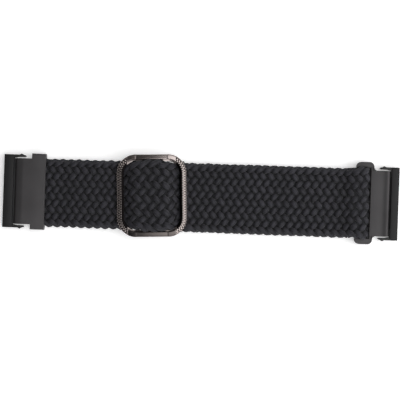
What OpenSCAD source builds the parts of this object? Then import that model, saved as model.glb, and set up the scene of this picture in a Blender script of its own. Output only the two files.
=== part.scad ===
// Braided nylon watch strap with a slider that sets its length and a
// snap-in metal connector at each end.
// +X runs along the strap towards the looped connector, +Y across it and
// +Z away from the wrist. The origin is at the middle of the underside.

/* [Strap] */
// Width of the braid
strap_w = 20; // [14:0.5:24]
// Thickness of the braid
strap_t = 1.6; // [1.2:0.1:2]
// Free length between the fixed connector and the slider
left_run_l = 21.3; // [8:0.1:60]
// Free length between the slider and the looped connector
top_run_l = 49.9; // [30:0.1:90]
// Length over which the strap climbs onto the loop bar
climb_l = 14; // [8:1:20]
// Length of strap that is folded round the loop bar, seen from above
fold_l = 6.1; // [5:0.1:8]
// Gap between strap layers, and between the strap and the metal
layer_gap = 0.1; // [0.05:0.01:0.15]
// Gap between neighbouring stretches of the strap
stretch_gap = 0.15; // [0.05:0.01:0.3]

/* [Slider] */
// Outer length of the slider, along the strap
slider_l = 20.9; // [20:0.1:26]
// Outer width of the slider's bars
slider_bar_d = 1.7; // [1.2:0.1:2]
// Radius of the slider's corners at the middle of the bar
slider_corner_r = 4.2; // [3:0.1:5]
// Room between the braid's edge and the slider's end bar
slider_side_gap = 0.5; // [0.3:0.1:1]
// Diameter of the pin that the strap's end is sewn round
slider_pin_d = 1; // [0.8:0.1:1.2]
// Length of the lugs that hold the pin
lug_l = 4.4; // [3:0.1:6]
// Metal left under the pin in a lug
lug_wall = 0.5; // [0.4:0.1:0.8]
// Length of the slope at each end of the strap's bow
bow_slope_l = 6; // [5:0.1:6.5]
// How far the bow's ends stand out past the slider
bow_overhang = 0.75; // [0.5:0.05:1.5]

/* [Sewn end] */
// How far the tail reaches past the bow's level top
tail_reach = 2; // [1.5:0.1:2.1]
// Length of the sealed tip of the tail
tip_l = 0.3; // [0.2:0.05:0.4]
// Distance from the last row of stitches to the sealed tip
stitch_in = 0.3; // [0.2:0.05:0.5]
// Distance between the two rows of stitches
stitch_row_step = 0.9; // [0.6:0.1:1]
// Number of stitches in a row
stitch_count = 9; // [5:1:11]
// Length of a stitch
stitch_l = 1.3; // [1:0.1:1.4]
// Thickness of the thread
thread_d = 0.3; // [0.2:0.05:0.4]
// How far the thread stands out of the tail
stitch_proud = 0.08; // [0.05:0.01:0.1]

/* [Connectors] */
// How far a clip bar's end lies inside the side of the plate's wide part
clip_inset = 0.4; // [0.2:0.05:0.8]
// Depth of the fixed connector's clip bar, along the strap
left_bar_l = 2.8; // [2.4:0.1:4]
// Depth of the looped connector's clip bar, along the strap
right_bar_l = 2.2; // [2.1:0.1:4]
// Height of the clip bars
clip_h = 2.6; // [2.4:0.1:3]
// Gap between a clip bar and its plate
groove_l = 0.5; // [0.3:0.1:1]
// Height of the plates
plate_h = 3.5; // [3.4:0.1:4.2]
// Gap between a plate's side and a latch arm at rest
arm_gap = 0.35; // [0.3:0.05:0.5]
// Length of the fixed connector's plate, along the strap
left_plate_l = 9.1; // [8.9:0.1:12]
// Length of the plate's wide part, which holds the strap
socket_l = 4.1; // [3.6:0.1:4.2]
// Metal beside the strap in the plate's wide part
socket_wall = 1.15; // [0.8:0.05:1.5]
// Room between the braid's edge and the socket's side wall
socket_gap = 0.1; // [0.05:0.01:0.2]
// Length of the looped connector's plate, along the strap
right_plate_l = 5.8; // [5.4:0.1:8]
// Length of the slope where a plate falls towards its groove
plate_slope_l = 1.6; // [1:0.1:2]
// Drop of that slope
plate_slope_h = 1.1; // [0.6:0.1:1.3]
// Thickness of the backplate
back_t = 0.8; // [0.7:0.05:0.9]
// Gap round the backplate's edge
back_gap = 0.1; // [0.05:0.01:0.2]

/* [Loop] */
// Length of the opening, from the loop's outer face to the plate
loop_l = 4.3; // [4.1:0.1:5]
// Width of the loop bar, along the strap
loop_bar_l = 1.8; // [1.4:0.1:1.9]
// Thickness of the loop bar
loop_bar_t = 1.2; // [1:0.1:1.3]
// Width of the ears that carry the loop bar
ear_w = 1.6; // [1.2:0.1:2]
// Height of the ears
ear_h = 1.8; // [1.6:0.1:2]
// Length of the ears alongside the plate
ear_root_l = 0.9; // [0.6:0.1:1.2]
// Radius of the ears' corners
ear_r = 1.4; // [1:0.1:1.6]
// Room between the braid's edge and an ear
ear_gap = 0.6; // [0.3:0.1:1]

/* [Latch arms] */
// Thickness of a latch arm
arm_t = 0.75; // [0.6:0.05:0.8]
// Length of an arm past its clip bar
arm_l = 3.5; // [3:0.1:3.8]
// Height of an arm
arm_h = 1.8; // [1.4:0.1:2]
// Distance from the bar's inner face to the arm's pivot
pivot_in = 1.2; // [1.1:0.05:1.3]
// Distance from the bar's inner face to the nub
nub_out = 2.2; // [1.8:0.1:2.4]
// How far the nub stands out
nub_h = 0.35; // [0.2:0.05:0.5]
// Half length of the nub
nub_l = 0.5; // [0.3:0.05:0.6]
// Clearance round an arm's root
root_gap = 0.1; // [0.08:0.01:0.15]
// Extra room beside the root for the arm's swing
swing_room = 0.2; // [0.15:0.05:0.3]

/* [Rivets and tongues] */
// Radius of the rivets' shanks
rivet_r = 0.6; // [0.4:0.05:0.7]
// Radius of the rivets' heads
rivet_head_r = 1; // [0.9:0.05:1.2]
// Thickness of the rivets' heads
rivet_head_t = 0.35; // [0.25:0.05:0.4]
// Distance from the braid's edge to the middle of a rivet
rivet_in = 5; // [4:0.5:5.5]
// Clearance round the rivets
rivet_gap = 0.03; // [0.02:0.01:0.05]
// Metal of the plate beside the tongue that joins a clip bar to it
tongue_wall = 1.75; // [1.2:0.05:2]
// Thickness of the tongue
tongue_t = 0.8; // [0.6:0.05:0.9]
// Length of the tongue inside the plate
tongue_l = 3.6; // [3.2:0.1:3.8]
// Clearance round the tongue
tongue_gap = 0.05; // [0.03:0.01:0.08]

/* [Hidden] */

$fn = 48;
// Cuts run this far past the faces that they open
cut = 0.5;
braid_colour = [0.18, 0.18, 0.21];
satin_colour = [0.33, 0.32, 0.33];
dark_colour = [0.2, 0.2, 0.2];
gunmetal_colour = [0.45, 0.38, 0.37];
thread_colour = [0.1, 0.1, 0.12];

// Places along the strap
total_l = left_bar_l + groove_l + left_plate_l + left_run_l + slider_l
    + top_run_l + loop_l + right_plate_l + groove_l + right_bar_l;
left_face_x = -total_l / 2;
left_bar_x = left_face_x + left_bar_l;
left_plate_x = left_bar_x + groove_l;
left_plate_end_x = left_plate_x + left_plate_l;
slider_x = left_plate_end_x + left_run_l + slider_l / 2;
loop_x = slider_x + slider_l / 2 + top_run_l;
right_plate_x = loop_x + loop_l;
right_plate_end_x = right_plate_x + right_plate_l;
right_bar_x = right_plate_end_x + groove_l;
right_face_x = right_bar_x + right_bar_l;

// Heights of the strap's layers, at the middle of the braid
low_z = strap_t / 2;
under_z = low_z + strap_t + layer_gap;
socket_z = back_t + layer_gap + strap_t / 2;
pin_z = strap_t + layer_gap + slider_pin_d / 2;
pin_turn_r = slider_pin_d / 2 + layer_gap + strap_t / 2;
over_pin_z = pin_z + pin_turn_r;
bow_z = over_pin_z + strap_t + layer_gap;
loop_bar_z = strap_t + layer_gap + loop_bar_t / 2;
fold_turn_r = loop_bar_t / 2 + layer_gap + strap_t / 2;
over_loop_z = loop_bar_z + fold_turn_r;

// The slider's bars lie on the strap
slider_z = under_z + strap_t / 2 + layer_gap + slider_bar_d / 2;
slider_w = strap_w + 2 * slider_side_gap + 2 * slider_bar_d;
bow_slope_end = slider_l / 2 - slider_bar_d / 2;
bow_top_l = bow_slope_end - bow_slope_l;
bow_half_l = slider_l / 2 + bow_overhang;
bow_start_x = slider_x - bow_half_l;
bow_end_x = slider_x + bow_half_l;
// The fold's outer side stops a little before the plate
fold_end_x = right_plate_x - 2 * layer_gap;
fold_turn_x = fold_end_x - fold_turn_r - strap_t / 2;
fold_start_x = fold_end_x - fold_l;
climb_end_x = fold_start_x - stretch_gap;
sewn_end_x = slider_x + slider_l / 2 - slider_bar_d;
tail_l = bow_top_l + tail_reach;
stitch_start = tail_l - stitch_in - thread_d - stitch_row_step;

// Widths of the connectors
socket_w = strap_w + 2 * socket_gap;
left_ears_w = socket_w + 2 * socket_wall;
clip_w = left_ears_w - 2 * clip_inset;
arm_y = clip_w / 2 - arm_t / 2;
plate_w = clip_w - 2 * arm_t - 2 * arm_gap;
tongue_w = plate_w - 2 * tongue_wall;
rivet_spacing = strap_w - 2 * rivet_in;
loop_w = strap_w + 2 * ear_gap + 2 * ear_w;
socket_x = left_plate_end_x - socket_l;
hem_l = socket_l - socket_wall / 2;
tongue_z = back_t + layer_gap;
left_end_rivet_x = left_plate_end_x - hem_l / 2;
left_clip_rivet_x = left_plate_x + tongue_l / 2;
right_clip_rivet_x = right_plate_end_x - tongue_l / 2;
end_rivet_h = back_t + strap_t + 4 * layer_gap;
clip_rivet_h = tongue_z + tongue_t + layer_gap;

// A smooth step from 0 to 1
function ramp(t) = t <= 0 ? 0 : t >= 1 ? 1 : (1 - cos(180 * t)) / 2;

// Height of the upper layer's middle at a place along the strap
function upper_z(x) =
    socket_z
    + (under_z - socket_z) * ramp((x - left_plate_end_x) / (bow_start_x - left_plate_end_x))
    + (bow_z - under_z) * (1 - ramp((abs(x - slider_x) - bow_top_l) / (bow_slope_end - bow_top_l)))
    + (over_loop_z - under_z) * ramp((x - climb_end_x + climb_l) / climb_l);

// Height of the tail's middle, which falls from the pin to the return run
tail_level_x = slider_x + stitch_start - thread_d;
function tail_z(x) = over_pin_z - (over_pin_z - under_z)
    * ramp((x - slider_x - slider_pin_d / 2) / (tail_level_x - slider_x - slider_pin_d / 2));

// Slope of one of the two heights
slope_step = 0.01;
function upper_slope(x) = (upper_z(x + slope_step) - upper_z(x - slope_step)) / (2 * slope_step);
function tail_slope(x) = (tail_z(x + slope_step) - tail_z(x - slope_step)) / (2 * slope_step);

// A point at a distance from a place on a line of the given slope, square to it
function beside(x, z, slope, off) =
    [x - off * slope / sqrt(1 + slope * slope), z + off / sqrt(1 + slope * slope)];

// The closed outline of a layer that follows one of the two heights
function upper_outline(x0, x1, steps) = concat(
    [for (i = [0:steps]) let (x = x0 + (x1 - x0) * i / steps)
        beside(x, upper_z(x), upper_slope(x), -strap_t / 2)],
    [for (i = [steps:-1:0]) let (x = x0 + (x1 - x0) * i / steps)
        beside(x, upper_z(x), upper_slope(x), strap_t / 2)]
);
function tail_outline(x0, x1, steps) = concat(
    [for (i = [0:steps]) let (x = x0 + (x1 - x0) * i / steps)
        beside(x, tail_z(x), tail_slope(x), -strap_t / 2)],
    [for (i = [steps:-1:0]) let (x = x0 + (x1 - x0) * i / steps)
        beside(x, tail_z(x), tail_slope(x), strap_t / 2)]
);

// Turns an outline drawn along and up into a solid across the strap
module across(width) {
    rotate([90, 0, 0]) linear_extrude(height = width, center = true) children();
}

// A box from x0 to x1 and z0 to z1, centred across the strap
module slab(x0, x1, width, z0, z1) {
    translate([x0, -width / 2, z0]) cube([x1 - x0, width, z1 - z0]);
}

// Half a ring that carries a layer round a bar, open towards the strap
module turn(x, z, turn_r, side) {
    translate([x, z]) intersection() {
        difference() {
            circle(r = turn_r + strap_t / 2);
            circle(r = turn_r - strap_t / 2);
        }
        translate([side > 0 ? 0 : -2 * turn_r - strap_t, -2 * turn_r])
            square([2 * turn_r + strap_t, 4 * turn_r]);
    }
}

// The holes or shanks of a pair of rivets
module rivet_pair(x, height, grow) {
    for (side = [-1, 1])
        translate([x, side * rivet_spacing / 2, 0]) {
            cylinder(r = rivet_r + grow, h = height + grow);
            cylinder(r = rivet_head_r + grow, h = rivet_head_t + grow);
        }
}

// The same holes, opened through the underside
module rivet_holes(x, height) {
    rivet_pair(x, height, rivet_gap);
    for (side = [-1, 1])
        translate([x, side * rivet_spacing / 2, -cut])
            cylinder(r = rivet_head_r + rivet_gap, h = cut + rivet_head_t);
}

// Side view of a plate whose top falls towards the side at x1
module plate_side(x0, x1, z0) {
    dir = x1 > x0 ? 1 : -1;
    slope_x = x1 - dir * plate_slope_l;
    slope_steps = 6;
    polygon(concat(
        [[x0, z0], [x0, plate_h]],
        [for (i = [0:slope_steps]) let (a = 90 * i / slope_steps)
            [slope_x + dir * plate_slope_l * sin(a), plate_h - plate_slope_h * (1 - cos(a))]],
        [[x1, z0]]
    ));
}

// A clip bar with its tongue, drawn for the fixed connector's side
module clip_bar(bar_l, side_dir) {
    inner_x = side_dir < 0 ? left_bar_x : right_bar_x;
    outer_x = side_dir < 0 ? left_face_x : right_face_x;
    plate_near_x = side_dir < 0 ? left_plate_x : right_plate_end_x;
    tongue_end_x = plate_near_x - side_dir * tongue_l;
    rivet_x = side_dir < 0 ? left_clip_rivet_x : right_clip_rivet_x;
    difference() {
        union() {
            slab(min(inner_x, outer_x), max(inner_x, outer_x), clip_w, 0, clip_h);
            slab(min(tongue_end_x, inner_x), max(tongue_end_x, inner_x),
                tongue_w, tongue_z, tongue_z + tongue_t);
        }
        for (side = [-1, 1]) arm_pocket(inner_x, side_dir, side);
        rivet_pair(rivet_x, clip_rivet_h, rivet_gap);
    }
}

// The pocket at a clip bar's end, where an arm's root lies
module arm_pocket(inner_x, side_dir, side) {
    root_r = arm_t / 2 + root_gap;
    pivot_x = inner_x + side_dir * pivot_in;
    pocket_z0 = clip_h / 2 - arm_h / 2 - root_gap;
    translate([pivot_x, side * arm_y, pocket_z0])
        cylinder(r = root_r, h = arm_h + 2 * root_gap);
    pocket_in_y = arm_y - root_r - swing_room;
    pocket_out_y = clip_w / 2 + cut;
    x_far = inner_x - side_dir * cut;
    translate([min(pivot_x, x_far), side > 0 ? pocket_in_y : -pocket_out_y, pocket_z0])
        cube([abs(x_far - pivot_x), pocket_out_y - pocket_in_y, arm_h + 2 * root_gap]);
    translate([pivot_x - root_r, side > 0 ? arm_y : -pocket_out_y, pocket_z0])
        cube([2 * root_r, pocket_out_y - arm_y, arm_h + 2 * root_gap]);
}

// The upper latch arm with its round root, its nub and its round tip
module latch_arm(inner_x, side_dir) {
    pivot_x = inner_x + side_dir * pivot_in;
    tip_x = inner_x - side_dir * (arm_l - arm_t / 2);
    nub_x = inner_x - side_dir * nub_out;
    face_y = arm_y + arm_t / 2;
    translate([0, 0, clip_h / 2 - arm_h / 2]) linear_extrude(height = arm_h) {
        translate([pivot_x, arm_y]) circle(d = arm_t);
        translate([tip_x, arm_y]) circle(d = arm_t);
        translate([min(pivot_x, tip_x), arm_y - arm_t / 2])
            square([abs(tip_x - pivot_x), arm_t]);
        polygon([[nub_x - nub_l, arm_y], [nub_x + nub_l, arm_y], [nub_x + nub_l, face_y],
            [nub_x, face_y + nub_h], [nub_x - nub_l, face_y]]);
    }
}

module left_end_plate() {
    color(satin_colour) difference() {
        union() {
            across(plate_w) plate_side(left_plate_end_x, left_plate_x, tongue_z);
            slab(socket_x, left_plate_end_x, left_ears_w, tongue_z, plate_h);
        }
        slab(left_plate_end_x - hem_l, left_plate_end_x + cut, socket_w,
            tongue_z - cut, tongue_z + strap_t + layer_gap);
        slab(left_plate_x - cut, left_plate_x + tongue_l + tongue_gap,
            tongue_w + 2 * tongue_gap, tongue_z - cut, tongue_z + tongue_t + tongue_gap);
        rivet_pair(left_end_rivet_x, end_rivet_h, rivet_gap);
        rivet_pair(left_clip_rivet_x, clip_rivet_h, rivet_gap);
    }
}

module left_end_backplate() {
    color(dark_colour) difference() {
        union() {
            slab(left_plate_x + back_gap, left_plate_end_x - back_gap,
                plate_w - 2 * back_gap, 0, back_t);
            slab(socket_x + back_gap, left_plate_end_x - back_gap,
                left_ears_w - 2 * back_gap, 0, back_t);
        }
        rivet_holes(left_end_rivet_x, end_rivet_h);
        rivet_holes(left_clip_rivet_x, clip_rivet_h);
    }
}

module left_clip_bar() {
    color(dark_colour) clip_bar(left_bar_l, -1);
}

module left_end_rivets() {
    color(satin_colour) rivet_pair(left_end_rivet_x, end_rivet_h, 0);
}

module left_clip_rivets() {
    color(satin_colour) rivet_pair(left_clip_rivet_x, clip_rivet_h, 0);
}

module left_latch_arm_upper() {
    color(satin_colour) latch_arm(left_bar_x, -1);
}

module left_latch_arm_lower() {
    color(satin_colour) mirror([0, 1, 0]) latch_arm(left_bar_x, -1);
}

// The end of the strap that is clamped in the fixed connector
module strap_left_hem() {
    color(braid_colour) difference() {
        slab(left_plate_end_x - hem_l + layer_gap, left_plate_end_x, strap_w,
            socket_z - strap_t / 2, socket_z + strap_t / 2);
        rivet_pair(left_end_rivet_x, end_rivet_h, rivet_gap);
    }
}

module strap_left_run() {
    run_steps = 10;
    color(braid_colour) across(strap_w) polygon(
        upper_outline(left_plate_end_x + stretch_gap, bow_start_x - stretch_gap, run_steps));
}

// A square with round corners, centred on the origin
module rounded_square(length, width, r) {
    square([length - 2 * r, width], center = true);
    square([length, width - 2 * r], center = true);
    for (x_side = [-1, 1], y_side = [-1, 1])
        translate([x_side * (length / 2 - r), y_side * (width / 2 - r)]) circle(r = r);
}

// The room that the slider's ring leaves for the strap: all below it, and its opening
module slider_room() {
    opening_l = slider_l - 2 * slider_bar_d - 2 * layer_gap;
    opening_w = slider_w - 2 * slider_bar_d - 2 * layer_gap;
    opening_r = slider_corner_r - slider_bar_d / 2 - layer_gap;
    ring_z = slider_z - slider_bar_d / 2 - layer_gap;
    slab(bow_start_x - cut, bow_end_x + cut, slider_w, 0, ring_z);
    translate([slider_x, 0, 0]) linear_extrude(height = bow_z + strap_t)
        rounded_square(opening_l, opening_w, opening_r);
}

// The stretch that passes under, over and under the slider's bars, and is
// drawn in where it rises through the corners of the slider's opening
module strap_slider_bow() {
    bow_steps = 44;
    color(braid_colour) intersection() {
        across(strap_w) polygon(upper_outline(bow_start_x, bow_end_x, bow_steps));
        slider_room();
    }
}

module strap_top_run() {
    run_steps = 28;
    color(braid_colour) across(strap_w) polygon(
        upper_outline(bow_end_x + stretch_gap, climb_end_x, run_steps));
}

module strap_end_fold() {
    color(braid_colour) across(strap_w) {
        translate([fold_start_x, over_loop_z - strap_t / 2])
            square([fold_turn_x - fold_start_x, strap_t]);
        translate([fold_start_x, 0]) square([fold_turn_x - fold_start_x, strap_t]);
        turn(fold_turn_x, loop_bar_z, fold_turn_r, 1);
    }
}

module strap_return_run() {
    color(braid_colour) slab(sewn_end_x + stretch_gap, fold_start_x - stretch_gap,
        strap_w, 0, strap_t);
}

module strap_sewn_loop() {
    tail_steps = 20;
    color(braid_colour) across(strap_w) {
        turn(slider_x, pin_z, pin_turn_r, -1);
        translate([slider_x, 0]) square([sewn_end_x - slider_x, strap_t]);
        polygon(tail_outline(slider_x, slider_x + tail_l, tail_steps));
    }
}

module loop_stitches() {
    stitch_pitch = strap_w / (stitch_count + 1);
    color(thread_colour)
        for (row = [0, 1], i = [1:stitch_count])
            translate([slider_x + stitch_start + row * stitch_row_step,
                i * stitch_pitch - strap_w / 2 - stitch_l / 2, stitch_proud])
                cube([thread_d, stitch_l, under_z + strap_t / 2]);
}

module strap_tail_tip() {
    color(thread_colour) slab(slider_x + tail_l, slider_x + tail_l + tip_l, strap_w,
        under_z - strap_t / 2, under_z + strap_t / 2);
}

// One straight bar and one corner of the slider's ring
module ring_bar(length) {
    rotate([90, 0, 0]) cylinder(d = slider_bar_d, h = length, center = true);
}

module slider_frame() {
    mid_l = slider_l - slider_bar_d;
    mid_w = slider_w - slider_bar_d;
    lug_y = slider_w / 2 - slider_bar_d;
    lug_z = pin_z - slider_pin_d / 2 - lug_wall;
    color(gunmetal_colour) translate([slider_x, 0, 0]) difference() {
        union() {
            for (side = [-1, 1]) {
                translate([side * mid_l / 2, 0, slider_z]) ring_bar(mid_w - 2 * slider_corner_r);
                translate([0, side * mid_w / 2, slider_z]) rotate([0, 0, 90])
                    ring_bar(mid_l - 2 * slider_corner_r);
                translate([-lug_l / 2, side > 0 ? lug_y : -slider_w / 2, lug_z])
                    cube([lug_l, slider_bar_d, slider_z - lug_z]);
            }
            for (turn_a = [0:90:270])
                translate([(turn_a == 0 || turn_a == 270 ? 1 : -1) * (mid_l / 2 - slider_corner_r),
                    (turn_a < 180 ? 1 : -1) * (mid_w / 2 - slider_corner_r), slider_z])
                    rotate([0, 0, turn_a]) rotate_extrude(angle = 90)
                    translate([slider_corner_r, 0]) circle(d = slider_bar_d);
        }
        translate([0, 0, pin_z]) rotate([90, 0, 0])
            cylinder(d = slider_pin_d, h = slider_w - slider_bar_d, center = true);
    }
}

module slider_centre_pin() {
    color(satin_colour) translate([slider_x, 0, pin_z]) rotate([90, 0, 0])
        cylinder(d = slider_pin_d, h = slider_w - slider_bar_d, center = true);
}

// The outline of the loop's ring from above
module loop_outline() {
    ring_l = loop_l + ear_root_l;
    difference() {
        translate([loop_x, 0]) union() {
            translate([0, -loop_w / 2 + ear_r]) square([ring_l, loop_w - 2 * ear_r]);
            translate([ear_r, -loop_w / 2]) square([ring_l - 2 * ear_r, loop_w]);
            for (x = [ear_r, ring_l - ear_r], side = [-1, 1])
                translate([x, side * (loop_w / 2 - ear_r)]) circle(r = ear_r);
        }
        translate([loop_x + loop_bar_l, -strap_w / 2 - ear_gap])
            square([loop_l - loop_bar_l, strap_w + 2 * ear_gap]);
    }
}

module right_loop_plate() {
    ear_in_y = strap_w / 2 + ear_gap;
    color(satin_colour) difference() {
        union() {
            translate([0, 0, loop_bar_z - loop_bar_t / 2])
                linear_extrude(height = loop_bar_t) loop_outline();
            translate([0, 0, loop_bar_z - ear_h / 2]) linear_extrude(height = ear_h)
                difference() {
                    loop_outline();
                    translate([loop_x - cut, -ear_in_y])
                        square([loop_l + ear_root_l + 2 * cut, 2 * ear_in_y]);
                }
            across(plate_w) plate_side(right_plate_x, right_plate_end_x, 0);
        }
        slab(right_plate_end_x - tongue_l - tongue_gap, right_plate_end_x + cut,
            tongue_w + 2 * tongue_gap, tongue_z - tongue_gap, tongue_z + tongue_t + tongue_gap);
        rivet_holes(right_clip_rivet_x, clip_rivet_h);
    }
}

module right_clip_bar() {
    color(dark_colour) clip_bar(right_bar_l, 1);
}

module right_clip_rivets() {
    color(satin_colour) rivet_pair(right_clip_rivet_x, clip_rivet_h, 0);
}

module right_latch_arm_upper() {
    color(satin_colour) latch_arm(right_bar_x, 1);
}

module right_latch_arm_lower() {
    color(satin_colour) mirror([0, 1, 0]) latch_arm(right_bar_x, 1);
}

left_end_plate();
left_end_backplate();
left_clip_bar();
left_end_rivets();
left_clip_rivets();
left_latch_arm_upper();
left_latch_arm_lower();
strap_left_hem();
strap_left_run();
strap_slider_bow();
strap_top_run();
strap_end_fold();
strap_return_run();
strap_sewn_loop();
loop_stitches();
strap_tail_tip();
slider_frame();
slider_centre_pin();
right_loop_plate();
right_clip_bar();
right_clip_rivets();
right_latch_arm_upper();
right_latch_arm_lower();
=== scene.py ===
# %% [markdown]
# # A braided nylon watch strap
# This lesson dresses a measured model of a watch strap. The strap is a flat braid that runs from a
# fixed metal connector, through a slider with a knurled ring, round the bar of a looped connector
# and back underneath to the slider. Every piece is placed from the measured model's own boxes.

# %% Load the measured model
import math

import bmesh
import bpy
import numpy as np
from mathutils import Matrix, Vector


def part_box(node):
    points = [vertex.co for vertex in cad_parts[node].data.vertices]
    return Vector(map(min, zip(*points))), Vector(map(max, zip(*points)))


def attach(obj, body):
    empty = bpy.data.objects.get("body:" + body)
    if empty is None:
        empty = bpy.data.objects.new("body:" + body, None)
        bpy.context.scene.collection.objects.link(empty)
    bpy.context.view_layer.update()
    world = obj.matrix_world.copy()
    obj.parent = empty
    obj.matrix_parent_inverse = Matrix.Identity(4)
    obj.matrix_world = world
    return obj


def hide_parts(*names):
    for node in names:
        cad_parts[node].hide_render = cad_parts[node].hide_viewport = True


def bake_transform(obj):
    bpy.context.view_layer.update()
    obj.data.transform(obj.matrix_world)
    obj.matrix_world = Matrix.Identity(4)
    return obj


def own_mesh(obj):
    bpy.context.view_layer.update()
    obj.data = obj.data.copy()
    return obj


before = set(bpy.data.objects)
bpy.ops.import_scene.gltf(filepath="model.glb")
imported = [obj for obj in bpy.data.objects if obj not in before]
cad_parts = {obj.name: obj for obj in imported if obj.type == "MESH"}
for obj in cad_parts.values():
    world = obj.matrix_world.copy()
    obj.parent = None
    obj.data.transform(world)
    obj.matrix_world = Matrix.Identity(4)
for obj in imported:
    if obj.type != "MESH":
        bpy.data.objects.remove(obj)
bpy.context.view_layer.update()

# %% [markdown]
# ## Places
# The script works in millimetres, as a strap maker would, and turns them into metres when a mesh
# is made. The places along the strap come from the boxes of the measured pieces.

# %% Places along the strap, in millimetres
MM = 0.001


def box_mm(node):
    """The lowest and highest corners of a measured piece, in millimetres."""
    return [[v / MM for v in corner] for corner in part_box(node)]


plate_low, plate_high = box_mm("left_end_plate")
hem_low, hem_high = box_mm("strap_left_hem")
ring_low, ring_high = box_mm("slider_frame")
bow_low, bow_high = box_mm("strap_slider_bow")
top_low = box_mm("strap_top_run")[0]
fold_low, fold_high = box_mm("strap_end_fold")
return_low, return_high = box_mm("strap_return_run")
sewn_high = box_mm("strap_sewn_loop")[1]
pin_low, pin_high = box_mm("slider_centre_pin")
loop_low, loop_high = box_mm("right_loop_plate")

strap_t = return_high[2] - return_low[2]
strap_w = return_high[1] - return_low[1]
slider_x = (ring_low[0] + ring_high[0]) / 2
ring_half_l = (ring_high[0] - ring_low[0]) / 2
ring_half_w = (ring_high[1] - ring_low[1]) / 2
low_z = (return_low[2] + return_high[2]) / 2
socket_z = (hem_low[2] + hem_high[2]) / 2
under_z = top_low[2] + strap_t / 2
over_loop_z = fold_high[2] - strap_t / 2
bow_z = bow_high[2] - strap_t / 2
fold_r = (over_loop_z - low_z) / 2
fold_bulge = 0.17
fold_turn_x = fold_high[0] - strap_t / 2 - fold_r + fold_bulge
climb_lead = 2.2
climb_l = 4.6
climb_start = fold_low[0] - climb_lead
print("strap", round(strap_w, 2), "by", round(strap_t, 2), "mm, slider at", round(slider_x, 2))

# %% [markdown]
# ## Routes of the strap
# A strap is a ribbon, so its shape is one line seen from the side, and everything in the braid is
# placed by how far along that line it lies. The line could be a curve drawn by hand, but a list of
# points can be worked out from the measured pieces. Each route below is such a list, spaced evenly
# so that a distance along it is also a place in the list.

# %% Side views of the routes
route_step = 0.1


def ramp(t):
    """A smooth step from 0 to 1."""
    t = np.clip(t, 0, 1)
    return (1 - np.cos(np.pi * t)) / 2


def even(points, step=route_step):
    """The same line with its points a step apart."""
    points = np.asarray(points, float)
    gone = np.concatenate([[0], np.cumsum(np.hypot(*np.diff(points, axis=0).T))])
    at = np.linspace(0, gone[-1], int(gone[-1] / step) + 1)
    return np.column_stack([np.interp(at, gone, points[:, 0]), np.interp(at, gone, points[:, 1])])


def route_l(route):
    """Length of a route."""
    return (len(route) - 1) * route_step


def upper_height(x):
    """Height of the upper layer's middle, from the socket to the loop bar."""
    rise = (under_z - socket_z) * ramp((x - plate_high[0]) / (bow_low[0] - plate_high[0]))
    climb = (over_loop_z - under_z) * ramp((x - climb_start) / climb_l)
    return socket_z + rise + climb


def arc(x, z, r, start, stop, steps=40):
    """Side-view points on a round turn, with angles in degrees."""
    a = np.radians(np.linspace(start, stop, steps))
    return np.column_stack([x + r * np.cos(a), z + r * np.sin(a)])


xs = np.linspace(hem_low[0], fold_turn_x, 900)
upper_line = np.column_stack([xs, upper_height(xs)])
fold_line = arc(fold_turn_x, low_z + fold_r, fold_r, 90, -90)
main_route = even(np.vstack([upper_line, fold_line[1:], [[sewn_high[0], low_z]]]))
print("the strap's main route is", round(route_l(main_route), 1), "mm long")

# %% The routes on the slider
ring_bar = 1.7
ring_corner_r = 4.75
ring_lip = 0.4
bow_slope_end = ring_half_l - 0.85
bow_slope_l = 6
bow_top_l = bow_slope_end - bow_slope_l
bow_reach = ring_half_l - 0.7
tail_from = 0.5
tail_to = 6.2
tail_drop_l = 3.3


def bow_height(d):
    """Height of the bow's middle at a distance from the slider's middle."""
    return bow_z - (bow_z - under_z) * ramp((np.abs(d) - bow_top_l) / bow_slope_l)


ds = np.linspace(-bow_reach, bow_reach, 400)
bow_route = even(np.column_stack([slider_x + ds, bow_height(ds)]))

pin_z = (pin_low[2] + pin_high[2]) / 2
pin_r = pin_z - low_z
tail_top_z = pin_z + pin_r
tail_x = np.linspace(tail_from, tail_to, 60)
tail_z = tail_top_z - (tail_top_z - under_z) * ramp((tail_x - tail_from) / tail_drop_l)
sewn_route = even(np.vstack([
    [[sewn_high[0], low_z]],
    arc(slider_x, pin_z, pin_r, 270, 90)[1:],
    np.column_stack([slider_x + tail_x, tail_z]),
]))
print("the bow is", round(route_l(bow_route), 1), "mm long, the sewn route", round(route_l(sewn_route), 1))

# %% [markdown]
# ## Yarns of a flat braid
# A flat braid is made of a few yarns that all cross the strap on a slant, turn at its edge and
# cross back. Each yarn passes over two others and under the next two, which gives the rows of
# slanting floats. A picture of a braid would be quicker, but it stays flat at the strap's edges, so
# every yarn is a mesh. Its path is a zigzag from above and a wave from the side, and the next yarn is
# the same path moved along by one step.

# %% The braid's sizes, in millimetres
yarn_count = 21
yarn_step = 2.4
yarn_w = 1.5
yarn_t = 0.8
yarn_rise = 0.4
float_turn = 0.1         # shifts a yarn so that it lies steeper over each float
edge_turn = 0.08         # shifts it so that it lies steeper where it turns at the strap's edge
yarn_sides = 10
ring_step = 0.28         # between the rings of points along a yarn
edge_in = 1.06           # how far the yarns' middles stay inside the strap's width, both sides together
edge_l = 1.2
core_in = 0.6            # how much narrower the elastic core is than the strap
core_aside = 0.15
core_sides = 12
plump_low = 0.54         # a yarn's share of its full size where it dives under others
plump_more = 0.47
plump_power = 1.3
plump_at_edge = 0.84
wobble_depths = (0.012, 0.032)
wobble_lengths = (0.8, 4)
wobble_waves = 4
whole_turn = 6.28
swell_lift = 0.6


# %% The way of one yarn
def zigzag(turns):
    """A zigzag between 0 and 1 with slightly rounded turns."""
    sharp = 0.99
    return 0.5 - np.arcsin(sharp * np.cos(np.pi * turns)) / (2 * math.asin(sharp))


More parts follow.
